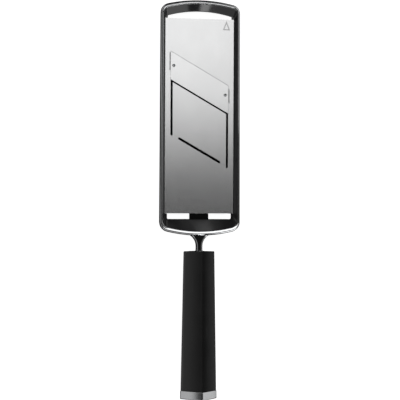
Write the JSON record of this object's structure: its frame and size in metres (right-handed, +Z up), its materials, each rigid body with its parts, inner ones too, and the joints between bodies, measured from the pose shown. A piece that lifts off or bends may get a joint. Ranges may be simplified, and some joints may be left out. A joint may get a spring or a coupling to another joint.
{
  "type": "mandoline slicer",
  "caption": "Hand-held mandoline slicer: framed steel plate with a slanted blade, a landing flap lowered by a rear thumb slider, and a tapered diamond-section handle with a bright end cap.",
  "frame": {"origin": "middle of the tool's length and width, at the height of the handle cap's back ridge, which is its lowest point", "axes": "+X across the head, +Y along the tool from the handle to the head's far end, +Z up out of the slicing face"},
  "size_m": [0.0694, 0.338, 0.0318],
  "materials": {
    "polished_rim": "bright polished cast metal with soft wear",
    "moulded_black": "dark grey-black moulded plastic, fine satin grain",
    "brushed_sheet": "stainless sheet with a fine lengthwise grain",
    "ground_steel": "ground and polished blade steel",
    "grip_black": "dark satin soft-touch skin",
    "screw_steel": "bright machine screws and pins",
    "spring_steel": "plain spring steel",
    "core_plastic": "hidden moulded filling",
    "cap_metal": "polished drawn metal"
  },
  "bodies": {
    "tool": {"rim": "polished_rim", "neck": "polished_rim", "neck_ferrule": "cap_metal", "front_frame": "moulded_black", "back_frame": "moulded_black", "frame_screws": "screw_steel", "slicing_plate": "brushed_sheet", "blade": "ground_steel", "blade_rivets": "screw_steel", "slider_keeper": "moulded_black", "keeper_screws": "screw_steel", "detent_spring": "spring_steel", "grip_shell": "grip_black", "handle_core": "core_plastic", "tang_pins": "spring_steel", "cap_plug": "core_plastic", "cap_screw": "screw_steel", "end_cap": "cap_metal"},
    "flap": {"landing_flap": "brushed_sheet", "flap_runner": "moulded_black"},
    "slider": {"thickness_slider": "moulded_black", "slider_button": "moulded_black", "button_screw": "screw_steel"}
  },
  "joints": [
    {"name": "thickness_slide", "type": "slide", "parent": "tool", "child": "slider", "axis": [0, -1, 0], "range_m": [0, 0.009]},
    {"name": "flap_tilt", "type": "hinge", "parent": "tool", "child": "flap", "pos_m": [0, 0.042, 0.0147], "axis": [-0.8704, 0.4924, 0], "range_deg": [0, 4.43]}
  ],
  "couplings": [
    {"joint": "flap_tilt", "follows": "thickness_slide", "rad_per_m": 8.5887}
  ]
}
